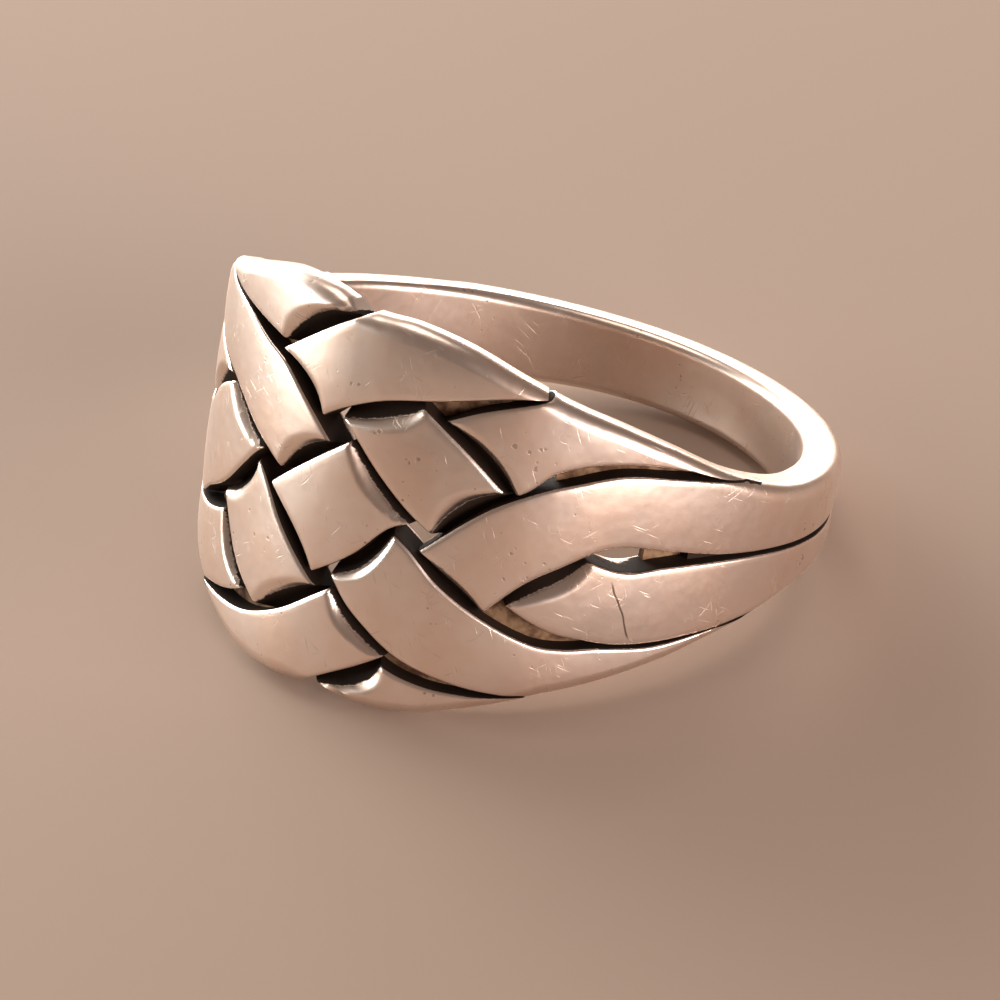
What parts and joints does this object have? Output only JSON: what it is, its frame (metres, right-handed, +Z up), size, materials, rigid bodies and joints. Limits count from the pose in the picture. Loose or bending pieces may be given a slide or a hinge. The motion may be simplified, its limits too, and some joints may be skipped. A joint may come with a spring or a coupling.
{
  "type": "braided band ring",
  "caption": "One-piece silver finger ring: flat strips woven over and under across a broad head, tapering to a narrow plain shank, lying on its side as it rests.",
  "frame": {"origin": "on the floor under the middle of the ring's footprint, half way between the foot of the head and the back of the shank", "axes": "+Z up from the floor; -Y towards the broad head, +Y towards the back of the shank; +X to the right seen from the head"},
  "size_m": [0.0201, 0.0207, 0.0121],
  "materials": {
    "silver": "polished cast silver with fine wear, dark residue in the recesses"
  },
  "bodies": {
    "root": {"braided_ring": "silver"}
  },
  "joints": []
}
